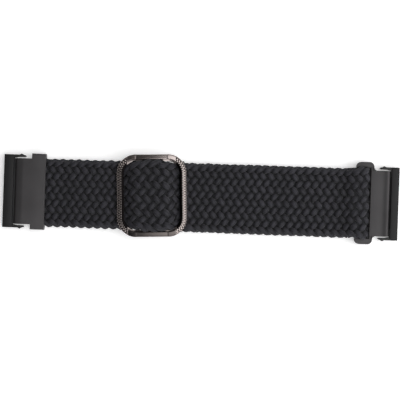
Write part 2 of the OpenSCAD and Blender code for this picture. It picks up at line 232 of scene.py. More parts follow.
def over_under(even_share):
    """How far over (1) or under (-1) a rising yarn is, by its even share of the way across, and how
    far its place moves so that it lies steeper over each float and at the strap's edges."""
    groups = (yarn_count - 1) // 2
    column = even_share * yarn_count - 0.5
    group = np.clip(np.floor(column / 2), 0, groups - 1)
    first, last = group == 0, group == groups - 1
    low = 2 * group - 0.5 * first
    high = 2 * group + 2 + 0.5 * last
    share = (column - low) / (high - low)
    wave = np.sin(np.pi * share)
    in_middle = -float_turn * np.sin(2 * np.pi * share)
    at_edge = edge_turn * wave * np.where(first, 1, -1)
    steeper = np.where(first | last, at_edge, in_middle) * (high - low) / yarn_count
    return np.where(group % 2 == 0, -1, 1) * wave, steeper


# %% Paths of all the yarns
def places_between(start, stop):
    """Distances along the strap at which a yarn has a ring of points."""
    return np.linspace(start, stop, max(3, int((stop - start) / ring_step) + 1))


def yarn_paths(start, stop, seed, step):
    """Flat paths of all the yarns between two places along the strap: (along, across, up, plumpness)."""
    random = np.random.default_rng(seed)
    half_turn = yarn_count * step / 2
    reach = strap_w - edge_in
    along = places_between(start, stop)
    paths = []
    for yarn in range(yarn_count):
        turns = (along - yarn * step) / half_turn
        rising = np.mod(turns, 2) < 1
        wave, steeper = over_under(1 - np.abs(np.mod(turns, 2) - 1))
        across = zigzag(turns) + steeper
        height = wave * np.where(rising, 1, -1)
        wobble, swell = (sum(
            random.uniform(*wobble_depths)
            * np.sin(along / random.uniform(*wobble_lengths) + random.uniform(0, whole_turn))
            for _ in range(wobble_waves)
        ) for _ in range(2))
        near_edge = np.clip(1 - (0.5 - np.abs(across - 0.5)) * reach / edge_l, 0, 1)
        on_float = np.maximum(np.abs(height) ** plump_power, plump_at_edge * near_edge)
        paths.append(np.column_stack([
            along, (across - 0.5) * reach + wobble, height * yarn_rise + swell * swell_lift,
            plump_low + plump_more * on_float + swell,
        ]))
    return paths


print("one yarn crosses the strap in", yarn_count * yarn_step / 2, "mm")

# %% [markdown]
# ## Small helpers
# Both materials and Geometry Nodes are trees of nodes joined by links. One helper adds a node with
# its settings and inputs, and an input is either a plain value or what comes out of another node.
# Python's own arithmetic on what comes out of a node adds the nodes that do the sum.


# %% What comes out of a node
class Flow:
    """What comes out of a node. An index picks one of its outputs, and arithmetic on it adds nodes."""

    def __init__(self, node, output=0):
        self.node = node
        self.tree = node.id_data
        self.output = output

    def __getitem__(self, output):
        return Flow(self.node, output)

    def __add__(self, other):
        return maths("ADD", self, other)

    def __sub__(self, other):
        return maths("SUBTRACT", self, other)

    def __rsub__(self, other):
        return maths("SUBTRACT", other, self)

    def __mul__(self, other):
        return maths("MULTIPLY", self, other)

    def __truediv__(self, other):
        return maths("DIVIDE", self, other)

    def feed(self, node, name):
        """Joins this output to a node's input."""
        self.tree.links.new(self.node.outputs[self.output], node.inputs[name])


# %% Adding a node
def add_node(tree, kind, inputs=None, **settings):
    """Adds a node and sets it up. Each input is a plain value or comes out of another node."""
    made = tree.nodes.new(kind)
    for name, value in settings.items():
        setattr(made, name, value)
    for name, value in (inputs or {}).items():
        if isinstance(value, Flow):
            value.feed(made, name)
        else:
            made.inputs[name].default_value = value
    return Flow(made)


def geo(tree, kind, inputs=None, **settings):
    """Adds a node of Geometry Nodes."""
    return add_node(tree, "GeometryNode" + kind, inputs, **settings)


def shade(tree, kind, inputs=None, **settings):
    """Adds a node that a shader's tree can hold too."""
    return add_node(tree, "ShaderNode" + kind, inputs, **settings)


# %% Arithmetic and attributes
def parts(value):
    """A vector's X, Y and Z."""
    return shade(value.tree, "SeparateXYZ", {0: value})


def vector(tree, **inputs):
    """A vector from its X, Y and Z."""
    return shade(tree, "CombineXYZ", inputs)


def maths(operation, *values):
    """One step of arithmetic."""
    tree = next(value.tree for value in values if isinstance(value, Flow))
    return shade(tree, "Math", dict(enumerate(values)), operation=operation)


def spread(value, low, high, to_low=0.0, to_high=1.0):
    """Stretches a value so that low becomes to_low and high becomes to_high, and cuts off the rest."""
    return shade(value.tree, "MapRange", {
        "Value": value, "From Min": low, "From Max": high, "To Min": to_low, "To Max": to_high})


def vectors(operation, first, *second, **inputs):
    """One step of arithmetic on vectors."""
    inputs.update(enumerate((first, *second)))
    return shade(first.tree, "VectorMath", inputs, operation=operation)


def store(geometry, name, value, data_type="FLOAT"):
    """Keeps a value on every point under a name."""
    return geo(geometry.tree, "StoreNamedAttribute", {"Geometry": geometry, "Name": name, "Value": value},
               data_type=data_type, domain="POINT")


def stored(tree, name, data_type="FLOAT"):
    """The value that the points have under a name."""
    return geo(tree, "InputNamedAttribute", {"Name": name}, data_type=data_type)


# %% A Geometry Nodes tree with named inputs
def geometry_tree(name, **sockets):
    """A Geometry Nodes tree with the named inputs of each kind, what it is given and a function that
    ends it."""
    tree = bpy.data.node_groups.new(name, "GeometryNodeTree")
    for kind, labels in {"Geometry": ["Geometry"], **sockets, "Material": ["Material"]}.items():
        for label in labels:
            tree.interface.new_socket(label, in_out="INPUT", socket_type="NodeSocket" + kind)
    tree.interface.new_socket("Geometry", in_out="OUTPUT", socket_type="NodeSocketGeometry")
    given = Flow(tree.nodes.new("NodeGroupInput"))

    def end(geometry):
        smooth = geo(tree, "SetShadeSmooth", {"Geometry": geometry})
        real = geo(tree, "RealizeInstances", {"Geometry": smooth})
        dressed = geo(tree, "SetMaterial", {"Geometry": real, "Material": given["Material"]})
        add_node(tree, "NodeGroupOutput", {"Geometry": dressed})

    return tree, given, end


# %% Helpers for objects
def add_object(name, data):
    """A new object in the scene."""
    made = bpy.data.objects.new(name, data)
    bpy.context.scene.collection.objects.link(made)
    return made


def mark(mesh, numbers):
    """Keeps lists of numbers on a mesh's points, each under its name."""
    for name, values in numbers.items():
        values = np.asarray(values, float)
        mesh.attributes.new(name, "FLOAT", "POINT").data.foreach_set("value", values)


def bake(piece, modifier):
    """The plain mesh that a modifier makes of a piece. The modifier is removed."""
    depsgraph = bpy.context.evaluated_depsgraph_get()
    mesh = bpy.data.meshes.new_from_object(piece.evaluated_get(depsgraph), depsgraph=depsgraph)
    piece.modifiers.remove(modifier)
    return mesh


def grow(name, tree, values, base=None):
    """Runs a tree on a mesh and keeps the result as a plain mesh object."""
    source = add_object(name + "_source", base or bpy.data.meshes.new(name + "_base"))
    modifier = source.modifiers.new("grow", "NODES")
    modifier.node_group = tree
    for item in tree.interface.items_tree:
        if item.item_type == "SOCKET" and item.in_out == "INPUT" and item.name in values:
            modifier[item.identifier] = values[item.name]
    mesh = bake(source, modifier)
    bpy.data.objects.remove(source)
    mesh.name = name
    mesh.calc_loop_triangles()
    print(name, "has", len(mesh.loop_triangles), "triangles")
    return add_object(name, mesh)


# %% [markdown]
# ## Finishes
# Each finish is a small tree on the Principled shader. The braid's yarns are bundles of fine
# filaments, too many to be meshes. So the yarn carries an attribute that says how far along it a
# point lies and where it is round the yarn, and noise that is stretched along the yarn draws the
# filaments. A yarn's colour is darkened where it is thin, as painted shade where it dives under
# others. The metals are satin, matt or polished, with fine grain from noise on the object's own
# coordinates. The plates' slopes are darkened with painted shade and their nose has a painted
# highlight, and the ring is blackened and darkened with painted shade in its knurl, on its ledge and
# along its plain end bars.


# %% Helpers for the finishes
def new_finish(name):
    """A material with its tree and shader, ready for more nodes."""
    material = bpy.data.materials.new(name)
    material.use_nodes = True
    print("finish:", name)
    return material, material.node_tree, material.node_tree.nodes["Principled BSDF"]


def blend_colours(share, first, second):
    """A colour between two, by a share from 0 to 1."""
    first, second = (c if isinstance(c, Flow) else (*c, 1) for c in (first, second))
    return shade(share.tree, "Mix", {0: share, 6: first, 7: second}, data_type="RGBA")[2]


def noise(place, scale, detail):
    """Noise at a place. Its scale may differ along X, Y and Z."""
    if isinstance(scale, tuple):
        place = shade(place.tree, "Mapping", {"Vector": place, "Scale": scale})
        scale = 1.0
    return shade(place.tree, "TexNoise", {"Vector": place, "Scale": scale, "Detail": detail})


def attribute(tree, name, output="Fac"):
    """What the mesh keeps under a name."""
    return shade(tree, "Attribute", attribute_name=name)[output]


def roughen(shader, height, strength, distance):
    """Gives a shader's surface small bumps."""
    bump = shade(shader.id_data, "Bump", {"Height": height, "Strength": strength, "Distance": distance})
    bump.feed(shader, "Normal")


# %% Braid and thread
def yarn_finish(name, dark, light, roughness):
    """Multifilament nylon, from the yarn's own lengthwise and round coordinates. Its colour is darker
    where the yarn dives under others and is thin, as painted shade in the braid's crevices."""
    material, tree, shader = new_finish(name)
    filament_scale = (420, 5.5, 5.5)
    patch_scale = (180, 0.4, 0.4)
    filament_share, patch_share, least_share = 0.6, 0.3, 0.1
    fibre = attribute(tree, "fibre", "Vector")
    lines = spread(noise(fibre, filament_scale, detail=3.0), 0.32, 0.7)
    patches = spread(noise(fibre, patch_scale, detail=1.0), 0.3, 0.7)
    uneven = lines * filament_share + (patches * patch_share + least_share)
    # Painted shade: the colour darkens where the yarn is thin, which is where it dives under others.
    share = spread(attribute(tree, "plump"), 0.7, 1.0) * uneven
    blend_colours(share, dark, light).feed(shader, "Base Color")
    roughen(shader, lines, strength=0.45, distance=0.06 * MM)
    shader.inputs["Roughness"].default_value = roughness
    shader.inputs["Specular IOR Level"].default_value = 0.35
    shader.inputs["Sheen Weight"].default_value = 0.12
    shader.inputs["Sheen Roughness"].default_value = 0.5
    return material


braid_finish = yarn_finish("braid_nylon", (0.0022, 0.0022, 0.0036), (0.0305, 0.0292, 0.039), 0.6)
thread_finish = yarn_finish("bonded_thread", (0.012, 0.012, 0.015), (0.03, 0.03, 0.036), 0.5)
core_material, _, core_shader = new_finish("elastic_core")
core_shader.inputs["Base Color"].default_value = (0.008, 0.008, 0.01, 1)
core_shader.inputs["Roughness"].default_value = 0.9


# %% Metals
def metal_finish(name, colour, metallic, roughness, grain, grain_depth, with_painted_shade=False, painted_slope_shade=0.0):
    """A coated or plated metal with fine grain and slightly uneven gloss. With painted shade, it is
    blackened where one attribute of the mesh says so and darkened towards a dark tint where another
    says so, both painted shade. With a painted slope shade, it is darker on its slopes, as painted
    shade, and has a painted highlight along the nose that points towards +X."""
    material, tree, shader = new_finish(name)
    place = shade(tree, "TexCoord")["Object"]
    broad = noise(place, scale=90.0, detail=2.0)
    patchy = 0.15
    uneven_gloss = 0.16
    tint = blend_colours(spread(broad, 0.3, 0.7), [c * (1 - patchy) for c in colour],
                         [c * (1 + patchy) for c in colour])
    gloss = broad * uneven_gloss + (roughness - uneven_gloss / 2)
    if with_painted_shade:
        # Painted shade: one attribute blackens the colour, another darkens it towards a dark tint.
        painted_black_colour, painted_dim_colour = (0.006, 0.005, 0.005), (0.02, 0.018, 0.017)
        painted_dim_share, polish_share = 0.8, 0.6
        tint = blend_colours(attribute(tree, "hollow"), tint, painted_black_colour)
        tint = blend_colours(attribute(tree, "dim") * painted_dim_share, tint, painted_dim_colour)
        gloss = gloss * (attribute(tree, "polish") * -polish_share + 1.0)
    else:
        shader.inputs["Specular IOR Level"].default_value = 0.25
    if painted_slope_shade:
        # Painted shade on the slopes, mostly on those that face +X, and a painted highlight along the
        # nose.
        left_share, painted_nose_highlight = 0.33, 0.75
        faces = parts(shade(tree, "NewGeometry")["Normal"])
        to_right = spread(faces["X"], 0.04, 0.4) * spread(faces["X"], 0.8, 0.6)
        to_left = spread(faces["X"], -0.06, -0.3)
        nose = spread(faces["X"], 0.45, 0.6) * spread(faces["Z"], 0.1, 0.3)
        keep = to_right * -painted_slope_shade + 1.0 + to_left * (-left_share * painted_slope_shade) + nose * painted_nose_highlight
        tint = vectors("SCALE", tint, Scale=keep)
    tint.feed(shader, "Base Color")
    gloss.feed(shader, "Roughness")
    roughen(shader, noise(place, grain, detail=4.0), strength=0.5, distance=grain_depth)
    shader.inputs["Metallic"].default_value = metallic
    return material


# The plates' finish has painted shade on its slopes and a painted highlight along its nose, and the ring's
# has painted shade in its knurl, on its ledge and along its plain end bars.
satin_finish = metal_finish("satin_grey", (0.059, 0.056, 0.058), 0.12, 0.5, 9000, 0.000006, painted_slope_shade=0.5)
dark_finish = metal_finish("matt_black", (0.02, 0.02, 0.0205), 0.3, 0.5, 9000, 0.000006)
ring_finish = metal_finish("rose_gunmetal", (0.82, 0.715, 0.685), 1.0, 0.24, 6000, 0.000003, with_painted_shade=True)
spring_finish = metal_finish("dark_spring_steel", (0.035, 0.035, 0.035), 0.5, 0.4, 7000, 0.000004)
rivet_finish = metal_finish("turned_steel", (0.4, 0.39, 0.38), 1.0, 0.3, 7000, 0.000004)

# %% [markdown]
# ## Sweeping and bending the yarns
# A braid is made flat and then bent with the strap. The tree below does the same: it sweeps an oval
# section along each flat yarn path, and then moves every point onto the strap's route, by sampling
# the route at the point's distance along. A Curve modifier could bend it too, but the tree also keeps
# the attributes that the finish reads. It makes the yarns, the core and the sealed tip.

# %% The tree for a swept and bent yarn
tree, given, end_tree = geometry_tree(
    "yarn_on_a_route", Object=["Route"], Float=["Yarn Width", "Yarn Thickness"], Int=["Sides"])
path = geo(tree, "MeshToCurve", {"Mesh": given["Geometry"]})
upright = geo(tree, "SetCurveNormal", {"Curve": path}, mode="Z_UP")
marked = store(upright, "gone", geo(tree, "SplineParameter")["Length"])
circle = geo(tree, "CurvePrimitiveCircle", {"Resolution": given["Sides"], "Radius": 1.0})
where = geo(tree, "InputPosition")
oval_size = vector(tree, X=given["Yarn Width"] * 0.5, Y=given["Yarn Thickness"] * 0.5, Z=1.0)
marked_circle = store(circle, "round", where, "FLOAT_VECTOR")
oval = geo(tree, "Transform", {"Geometry": marked_circle, "Scale": oval_size})
swept = geo(tree, "CurveToMesh", {
    "Curve": marked, "Profile Curve": oval, "Scale": stored(tree, "plump"), "Fill Caps": True})

# %% Bending onto the route
flat = parts(where)
up = flat["Z"] * stored(tree, "press") + stored(tree, "lift")
route = geo(tree, "ObjectInfo", {"Object": given["Route"]})["Geometry"]
sample = geo(tree, "SampleCurve", {"Curves": route, "Length": flat["X"]}, mode="LENGTH")
square = vectors("CROSS_PRODUCT", sample["Tangent"], (0, 1, 0))
near = vectors("ADD", sample["Position"], vectors("SCALE", square, Scale=up))
bent_place = vectors("ADD", near, vector(tree, Y=flat["Y"]))
bent = geo(tree, "SetPosition", {"Geometry": swept, "Position": bent_place})

# %% The attribute that the finish reads
round_yarn = parts(stored(tree, "round", "FLOAT_VECTOR"))
fibre_place = vector(tree, X=stored(tree, "gone"), Y=round_yarn["X"], Z=round_yarn["Y"])
end_tree(store(bent, "fibre", fibre_place, "FLOAT_VECTOR"))
yarn_tree = tree
print("the yarn's tree has", len(yarn_tree.nodes), "nodes")


# %% Paths and routes as Blender data
def wires(name, paths, press_at=np.ones_like, lift_at=np.zeros_like):
    """Flat yarn paths as a mesh of edges, with how thick and how high the strap is pressed there."""
    mesh = bpy.data.meshes.new(name)
    points = np.vstack(paths)
    edges = []
    first = 0
    for one in paths:
        edges += [(first + i, first + i + 1) for i in range(len(one) - 1)]
        first += len(one)
    mesh.from_pydata((points[:, :3] * MM).tolist(), edges, [])
    along = points[:, 0]
    mark(mesh, {"plump": points[:, 3], "press": press_at(along), "lift": lift_at(along) * MM})
    return mesh


def route_object(name, points):
    """A side-view line as a curve object for the tree to sample."""
    curve = bpy.data.curves.new(name, "CURVE")
    curve.dimensions = "3D"
    spline = curve.splines.new("POLY")
    spline.points.add(len(points) - 1)
    nothing = np.zeros(len(points))
    places = np.column_stack([points[:, 0] * MM, nothing, points[:, 1] * MM, nothing + 1])
    spline.points.foreach_set("co", places.ravel())
    return add_object(name, curve)


# %% Joining finished pieces
def join(name, pieces):
    """Joins finished pieces into one object."""
    whole = bmesh.new()
    materials = []
    for piece in pieces:
        first_face = len(whole.faces)
        whole.from_mesh(piece.data)
        whole.faces.ensure_lookup_table()
        for face in whole.faces[first_face:]:
            face.material_index = len(materials)
        materials.append(piece.data.materials[0])
        bpy.data.objects.remove(piece)
    return from_bmesh(name, whole, *materials)


def from_bmesh(name, whole, *materials):
    """An object from a finished bmesh."""
    mesh = bpy.data.meshes.new(name)
    whole.to_mesh(mesh)
    whole.free()
    for material in materials:
        mesh.materials.append(material)
    return add_object(name, mesh)


# %% One stretch of braid
def braid(name, route_made, start, stop, seed, step=yarn_step, width_at=np.ones_like,
          press_at=np.ones_like, lift_at=np.zeros_like, shift_at=np.zeros_like,
          crush_at=np.ones_like, core_more=0, core_t=0.3):
    """One stretch of braid with its elastic core, bent onto a route."""
    paths = yarn_paths(start, stop, seed, step)
    for one in paths:
        along = one[:, 0]
        one[:, 1] = one[:, 1] * width_at(along) + shift_at(along)
        one[:, 3] *= crush_at(along)
    yarns = grow(name + "_yarns", yarn_tree, {
        "Route": route_made, "Yarn Width": yarn_w * MM, "Yarn Thickness": yarn_t * MM,
        "Sides": yarn_sides, "Material": braid_finish,
    }, wires(name + "_paths", paths, press_at, lift_at))
    along = places_between(start, stop)
    core_path = np.column_stack([along, core_aside + shift_at(along), 0 * along, width_at(along)])
    core = grow(name + "_core", yarn_tree, {
        "Route": route_made, "Yarn Width": (strap_w - core_in + core_more) * MM,
        "Yarn Thickness": core_t * MM, "Sides": core_sides, "Material": core_material,
    }, wires(name + "_core_path", [core_path], press_at, lift_at))
    return join(name, [yarns, core])


def place_at(route_points, x, last=False):
    """Distance along a route at which it first, or last, passes a place along the strap."""
    hits = np.flatnonzero(np.diff(np.sign(route_points[:, 0] - x)))
    return (hits[-1] if last else hits[0]) * route_step


# %% [markdown]
# ## The strap
# The strap crosses pieces that move apart, so it is made in stretches of one kind of braid. The
# fold and the return stretch stay with the looped connector. A spare stretch inside the return
# stretch moves with the slider and fills the gap when the slider goes away. The bow over the
# slider's pin moves with the slider too, and the upper stretch lies pressed flat beneath it.

# %% Where the long stretches begin and end, and how much they change
main_object = route_object("main_route", main_route)
upper_end = place_at(main_route, fold_low[0])
fold_end = place_at(main_route, fold_low[0], last=True)
under_start = place_at(main_route, slider_x - ring_half_l)
under_stop = place_at(main_route, slider_x + ring_half_l)
under_soft = 1.5
under_press = 0.45       # how much flatter the upper layer is under the slider
under_drop = 0.33        # how far it is pushed down there
width_shares = {-46: 1.0075, -27: 1.013, 0: 1.018, 18: 1.03}     # of the strap's width, by place
fold_spread = 0.042
spread_from, spread_l = 1.5, 2.2
strap_aside = 0.18
aside_to, aside_fade = -1.5, 4
# By the socket and by the looped plate the yarns are thinner, and their colour is darker there as painted
# shade.
socket_crush, socket_crush_l, past_socket = 0.16, 0.5, 0.1
plate_crush, plate_crush_l, before_plate = 0.14, 0.6, 1.1


# %% How the strap's width and place change
def main_x(s):
    """Place along X of the main route at a distance along it."""
    return np.interp(s, np.arange(len(main_route)) * route_step, main_route[:, 0])


def main_width(s):
    """The braid is a little wider past the slider, and spreads where it folds round the loop's bar
    and fills the loop."""
    along = np.interp(main_x(s), list(width_shares), list(width_shares.values()))
    return along + fold_spread * ramp((main_x(s) - fold_low[0] - spread_from) / spread_l)


def main_shift(s):
    """The loose strap lies a little to one side of the metal."""
    return -strap_aside * (1 - ramp((main_x(s) - fold_low[0] - aside_to) / aside_fade))


def under_share(s):
    """1 under the slider and 0 elsewhere, with soft ends."""
    return ramp((s - under_start) / under_soft) * (1 - ramp((s - under_stop + under_soft) / under_soft))


def crushed_and_painted_shade(s):
    """The yarns are crushed thinner where they come out of the socket and where they turn down beside
    the looped plate, and are coloured darker there, as painted shade where the braid dives under metal."""
    x = main_x(s)
    by_socket = np.exp(-(((x - plate_high[0] - past_socket) / socket_crush_l) ** 2))
    by_plate = ramp((x - fold_high[0] + before_plate) / plate_crush_l)
    return 1 - socket_crush * by_socket - plate_crush * by_plate


# %% Upper stretch, fold, return and spare stretch
loose = {"width_at": main_width, "shift_at": main_shift}
upper = braid("strap_upper_braid", main_object, 0, upper_end, seed=11, crush_at=crushed_and_painted_shade,
              press_at=lambda s: 1 - under_press * under_share(s),
              lift_at=lambda s: -under_drop * under_share(s), **loose)
# The fold's near-black core is wider and thicker than elsewhere: partly the real core, partly a dark body
# that fills the gaps between the yarns as painted shade.
fold = braid("strap_fold_braid", main_object, upper_end, fold_end, seed=12, crush_at=crushed_and_painted_shade,
             core_more=0.5, core_t=0.75, **loose)
return_end = route_l(main_route)
return_seed = 13
back = braid("strap_return_braid", main_object, fold_end, return_end, return_seed, **loose)
spare_l = 25
spare_crush = 0.94
spare_press = 0.92
spare = braid("strap_spare_braid", main_object, return_end - spare_l, return_end, return_seed,
              crush_at=lambda s: 0 * s + spare_crush, press_at=lambda s: 0 * s + spare_press, **loose)

# %% [markdown]
# ## The bow over the slider's pin
# This stretch is all of the strap that shows inside the ring. It bulges over the ring's inner lip in
# the middle and is squeezed by the round corners at both ends, so its width follows the ring's
# inner outline.

# %% The bow
bow_object = route_object("bow_route", bow_route)
inside_ring_l = ring_half_l - ring_bar - ring_lip
inside_ring_w = ring_half_w - ring_bar - ring_lip
inside_corner_r = ring_corner_r - ring_bar / 2 - ring_lip
into_corner, draw_in_l = 0.93, 0.5
bulge, bulge_half_l, bulge_fade = 0.55, 2.4, 1.2
bow_slant, slant_half_l, slant_fade = 0.045, 5, 2.5


def bow_place(s):
    """Signed distance from the slider's middle."""
    return bow_route[np.clip((s / route_step).astype(int), 0, len(bow_route) - 1), 0] - slider_x


def bow_width(s):
    """Bulges over the ring's lip in the middle, shows the lip beside that, and draws in where it rises
    through the round corners."""
    d = np.abs(bow_place(s))
    into = np.clip(d - (inside_ring_l - inside_corner_r), 0, inside_corner_r * into_corner)
    over_lip = bulge * (1 - ramp((d - bulge_half_l) / bulge_fade))
    room = inside_ring_w - inside_corner_r + np.sqrt(inside_corner_r**2 - into**2) + over_lip
    outside = ramp((d - inside_ring_l) / draw_in_l)
    return (room * (1 - outside) + strap_w / 2 * outside) / (strap_w / 2)


def bow_askew(s):
    """The loose bow lies a little askew in the ring."""
    d = bow_place(s)
    return -bow_slant * d * (1 - ramp((np.abs(d) - slant_half_l) / slant_fade))


bow = braid("strap_bow_braid", bow_object, 0, route_l(bow_route), seed=14, step=2.8,
            width_at=bow_width, shift_at=bow_askew, core_more=0.35)

# %% [markdown]
# ## The sewn end
# The strap's end goes round the slider's pin and is sewn to the stretch below. Two rows of thread
# pull the braid in, and the cut edge is sealed to a hard tip, which is one thick yarn across the
# strap.

# %% The sewn stretch
sewn_object = route_object("sewn_route", sewn_route)
stitch_d = [4.1, 5.0]
pull, pull_l = 0.22, 0.35


def stitch_pull(s):
    """The thread pulls the lower leg in along its two rows."""
    d = sewn_high[0] - slider_x - s
    return sum(-pull * np.exp(-(((d - at) / pull_l) ** 2)) for at in stitch_d)


tail_d = 5.65
tail_stop = place_at(sewn_route, slider_x + tail_d, last=True)
sewn = braid("strap_sewn_braid", sewn_object, 0, tail_stop, seed=15, lift_at=stitch_pull)

# %% The sealed tip
tip_inset, tip_share, tip_wobble = 0.35, 0.92, 0.03
tip_half_w = strap_w / 2 - tip_inset
tip_y = np.linspace(-tip_half_w, tip_half_w, 90)
tip_random = np.random.default_rng(17)
tip_plump = tip_share + sum(
    tip_wobble * np.sin(tip_y * tip_random.uniform(1, 5) + tip_random.uniform(0, whole_turn))
    for _ in range(wobble_waves))
tip_path = np.column_stack([0 * tip_y + tail_stop, tip_y, 0 * tip_y, tip_plump])
tip = grow("sealed_strap_tip", yarn_tree, {
    "Route": sewn_object, "Yarn Width": 0.5 * MM, "Yarn Thickness": 1.3 * MM,
    "Sides": core_sides, "Material": thread_finish,
}, wires("sealed_tip_path", [tip_path]))
for made in (main_object, bow_object, sewn_object):
    bpy.data.objects.remove(made)

# %% [markdown]
# ## Stitches
# Each row of thread is one short stitch, repeated. Geometry Nodes put a copy of it on every point of
# a row, so its length and its thread are set in one place.

# %% The tree for rows of stitches
tree, given, end_tree = geometry_tree("rows_of_stitches", Float=["Stitch Length", "Thread Radius"])
row = geo(tree, "MeshToPoints", {"Mesh": given["Geometry"]})
stitch_ends = {
    name: vector(tree, Y=given["Stitch Length"] * share)
    for name, share in (("Start", -0.5), ("End", 0.5))
}
stitch_line = geo(tree, "CurvePrimitiveLine", stitch_ends)
stitch_points = geo(tree, "ResampleCurve", {"Curve": stitch_line, "Count": 9})
arc_angle, arc_start = 2.7, 0.22
stitch_arc = maths("SINE", geo(tree, "SplineParameter")["Factor"] * arc_angle + arc_start)
dip = (1.0 - stitch_arc) * (0.5 * MM)
bowed = geo(tree, "SetPosition", {"Geometry": stitch_points, "Offset": vector(tree, Z=dip)})
thread_ring = geo(tree, "CurvePrimitiveCircle", {"Resolution": 10, "Radius": given["Thread Radius"]})
stitch_mesh = geo(tree, "CurveToMesh", {"Curve": bowed, "Profile Curve": thread_ring, "Fill Caps": True})
end_tree(geo(tree, "InstanceOnPoints", {"Points": row, "Instance": stitch_mesh}))

# %% Stitches
stitch_count = 9
stitch_pitch = strap_w / (stitch_count + 1)
stitch_z = 0.17
stitch_spots = bpy.data.meshes.new("stitch_spots")
stitch_spots.from_pydata([
    ((slider_x + d + core_aside) * MM, (i * stitch_pitch - strap_w / 2) * MM, stitch_z * MM)
    for d in stitch_d for i in range(1, stitch_count + 1)
], [], [])
stitches = grow("sewn_end_stitches", tree, {
    "Stitch Length": 1.5 * MM, "Thread Radius": 0.15 * MM, "Material": thread_finish,
}, stitch_spots)

# %% [markdown]
# ## The slider's ring
# The ring is one bar bent into a rectangle with round corners. Its top slopes outwards, a polished
# ledge runs round inside it, and its sides and corners are knurled with two rows of small bumps,
# while the middle of each end bar is a flat. The section is drawn once, the tree sweeps it round
# the ring, and then the surface is sunk along two crossing sets of lines. A bump texture would draw
# the knurl with fewer faces, but it leaves the ring's outline smooth.


# %% Outlines with round corners
def rounded_outline(corners, radii, step=0.11):
    """A closed outline with round corners, with its points about a step apart."""
    most_cut = 0.48
    turn_points = 7
    corners = np.asarray(corners, float)
    points = []
    for i, (corner, r) in enumerate(zip(corners, radii)):
        before = corners[i - 1] - corner
        after = corners[(i + 1) % len(corners)] - corner
        before_l, after_l = np.hypot(*before), np.hypot(*after)
        before, after = before / before_l, after / after_l
        half = math.acos(np.clip(before @ after, -1, 1)) / 2
        cut = min(r / math.tan(half), most_cut * before_l, most_cut * after_l)
        for share in np.linspace(0, 1, turn_points):
            one = corner + before * cut * (1 - share)
            two = corner + after * cut * share
            points.append(one * (1 - share) + two * share)
    return even(points + points[:1], step)[:-1]


# %% The section of the ring's bar
h = ring_bar / 2
top_in = -0.57           # where the sloping top ends on the inside
wall_in = -0.68          # where the wall below it meets the ledge
bar_corners = [(top_in, h), (wall_in, h - 0.45), (-h - ring_lip, h - 0.5), (-h - ring_lip, 0),
               (-h, -h + 0.3), (-h, -h), (h - 0.15, -h), (h, -h + 0.35), (h, 0.4), (h - 0.3, h - 0.26)]
bar_radii = [0.12, 0.05, 0.1, 0.1, 0.1, 0.1, 0.2, 0.2, 0.3, 0.3]
bar_section = rounded_outline(bar_corners, bar_radii)[::-1]
bar_out, bar_up = bar_section.T
section_n = len(bar_section)
section_mesh = bpy.data.meshes.new("ring_bar_section")
section_mesh.from_pydata([(o * MM, -z * MM, 0) for o, z in bar_section],
                         [(i, (i + 1) % section_n) for i in range(section_n)], [])
bar_step = np.hypot(*(bar_section - np.roll(bar_section, 1, axis=0)).T).mean()
bar_round = section_n * bar_step
top_i = int(np.argmin(np.hypot(bar_out, bar_up - h)))
from_top = (np.arange(section_n) - top_i) * bar_step
on_ledge = (bar_out < top_in) & (bar_up < h - 0.1)
mark(section_mesh, {
    "round_bar": ((from_top + bar_round / 2) % bar_round - bar_round / 2) * MM,
    "ledge": on_ledge,
    "lip": on_ledge & (bar_out < -h - ring_lip + 0.2),
    "rim": (np.abs(bar_out - top_in) < 0.13) & (bar_up > h - 0.4),
})
section_object = add_object("ring_bar_section", section_mesh)
print("the bar's section has", section_n, "points")

# %% The tree for a knurled ring
tree, given, end_tree = geometry_tree(
    "knurled_ring", Object=["Section"], Int=["Points"],
    Float=["Length", "Width", "Corner Radius", "Height", "Pitch Along", "Pitch Round", "Depth",
           "Flat Half", "Flat Depth", "Knurl Start"])
rectangle = geo(tree, "CurvePrimitiveQuadrilateral", {
    "Width": given["Length"], "Height": given["Width"]}, mode="RECTANGLE")
rounded = geo(tree, "FilletCurve", {
    "Curve": rectangle, "Radius": given["Corner Radius"], "Count": 24, "Limit Radius": True,
}, mode="POLY")
ring_path = geo(tree, "ResampleCurve", {"Curve": rounded, "Count": given["Points"]})
ring_up = geo(tree, "SetCurveNormal", {"Curve": ring_path}, mode="Z_UP")
ring_marked = store(ring_up, "gone", geo(tree, "SplineParameter")["Length"])
section_in = geo(tree, "ObjectInfo", {"Object": given["Section"]})["Geometry"]
section = geo(tree, "MeshToCurve", {"Mesh": section_in})
ring_mesh = geo(tree, "CurveToMesh", {"Curve": ring_marked, "Profile Curve": section})

# %% Where the ring is knurled, flat or on its ledge
ring_place = parts(geo(tree, "InputPosition"))
ledge_here = stored(tree, "ledge")
top_from, top_full = -0.6, -0.3
knurl_fade, flat_fade = 0.4, 0.12
on_top = spread(ring_place["Z"], top_from * MM, top_full * MM) * (1.0 - ledge_here)
from_middle = maths("ABSOLUTE", ring_place["X"])
knurl_zone = spread(from_middle - given["Knurl Start"], 0.0, knurl_fade * MM)
plain_zone = 1.0 - knurl_zone
knurl_here = on_top * knurl_zone
flat_here = on_top * spread(given["Flat Half"] - from_middle, 0.0, flat_fade * MM)

# %% Two rows of bumps, with grooves and deeper pits between them
along_ring = stored(tree, "gone") / given["Pitch Along"]
row_shift = 0.25
round_ring = stored(tree, "round_bar") / given["Pitch Round"] + row_shift
slants = [maths("PINGPONG", way, 0.5) for way in (along_ring + round_ring, along_ring - round_ring)]
groove_from, groove_full, groove_black = 0.62, 0.2, 0.2
pit_from, pit_full = 0.45, 0.35
bump_power = 0.6
bump_height = maths("MINIMUM", *slants) * 2.0
